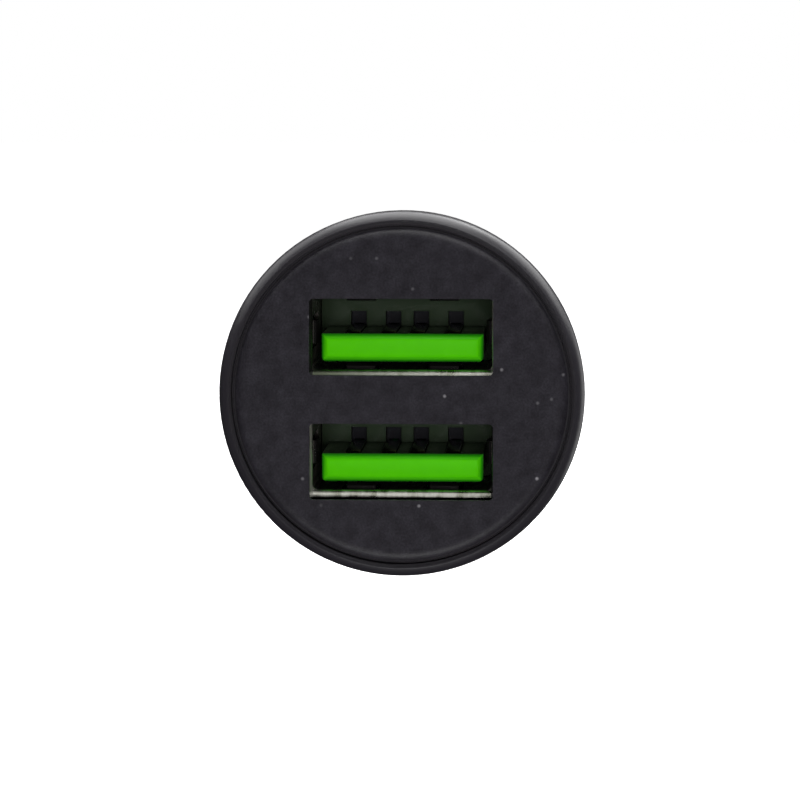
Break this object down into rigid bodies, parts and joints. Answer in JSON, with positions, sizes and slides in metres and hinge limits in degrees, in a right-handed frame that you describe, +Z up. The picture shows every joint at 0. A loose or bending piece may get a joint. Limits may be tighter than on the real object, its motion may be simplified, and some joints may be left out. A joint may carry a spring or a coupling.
{
  "type": "car usb charger plug",
  "caption": "Round black charger plug for a vehicle's power socket, with stacked USB-A sockets in its face, a sprung tip and sprung side contacts.",
  "frame": {"origin": "on the plug's axis, in the plane of the shoulder that meets the rim of the vehicle's socket", "axes": "+Y along the axis toward the sprung tip, so the face with the USB sockets looks along -Y; +Z up as pictured; +X to the viewer's right"},
  "size_m": [0.0254, 0.0552, 0.0254],
  "materials": {
    "housing_plastic": "moulded, semi-gloss",
    "face_plastic": "moulded, fine matt grain",
    "cap_plastic": "moulded, matt",
    "shell_steel": "nickel plated sheet",
    "socket_green": "moulded, smooth",
    "contact_gold": "thin gold plating",
    "circuit_board": "solder resist",
    "ferrite": "pressed, unglazed",
    "copper_wire": "enamelled copper",
    "chip_resin": "moulded resin",
    "capacitor_can": "drawn, satin",
    "brass_sheet": "stamped",
    "spring_wire": "drawn wire",
    "tip_plating": "nickel plated, polished",
    "side_contact_steel": "stamped stainless"
  },
  "bodies": {
    "plug": {"housing": "housing_plastic", "face_plate": "face_plastic", "nose_cap": "cap_plastic", "socket_board": "circuit_board", "main_board": "circuit_board", "inductor_core": "ferrite", "inductor_winding": "copper_wire", "controller_chip": "chip_resin", "rectifier_diode": "chip_resin", "input_capacitor": "capacitor_can", "output_capacitor": "capacitor_can", "chip_resistors": "chip_resin", "spring_seat": "brass_sheet", "tip_spring": "spring_wire", "ground_lead_left": "brass_sheet", "ground_lead_right": "brass_sheet", "upper_socket_shell": "shell_steel", "upper_socket_insulator": "socket_green", "upper_socket_contact_1": "contact_gold", "upper_socket_contact_2": "contact_gold", "upper_socket_contact_3": "contact_gold", "upper_socket_contact_4": "contact_gold", "lower_socket_shell": "shell_steel", "lower_socket_insulator": "socket_green", "lower_socket_contact_1": "contact_gold", "lower_socket_contact_2": "contact_gold", "lower_socket_contact_3": "contact_gold", "lower_socket_contact_4": "contact_gold"},
    "tip": {"centre_pin": "tip_plating"},
    "left_spring": {"left_contact": "side_contact_steel"},
    "right_spring": {"right_contact": "side_contact_steel"}
  },
  "joints": [
    {"name": "tip_slide", "type": "slide", "parent": "plug", "child": "tip", "axis": [0, -1, 0], "range_m": [0, 0.0025], "stiffness_N_per_m": 400, "springref_m": -0.004, "deforming": ["tip_spring"]},
    {"name": "left_contact_flex", "type": "hinge", "parent": "plug", "child": "left_spring", "pos_m": [-0.00858, 0.0314, 0], "axis": [0, 0, 1], "range_deg": [0, 5], "stiffness_Nm_per_rad": 0.4, "springref_deg": -5.16},
    {"name": "right_contact_flex", "type": "hinge", "parent": "plug", "child": "right_spring", "pos_m": [0.00858, 0.0314, 0], "axis": [0, 0, -1], "range_deg": [0, 5], "stiffness_Nm_per_rad": 0.4, "springref_deg": -5.16}
  ]
}
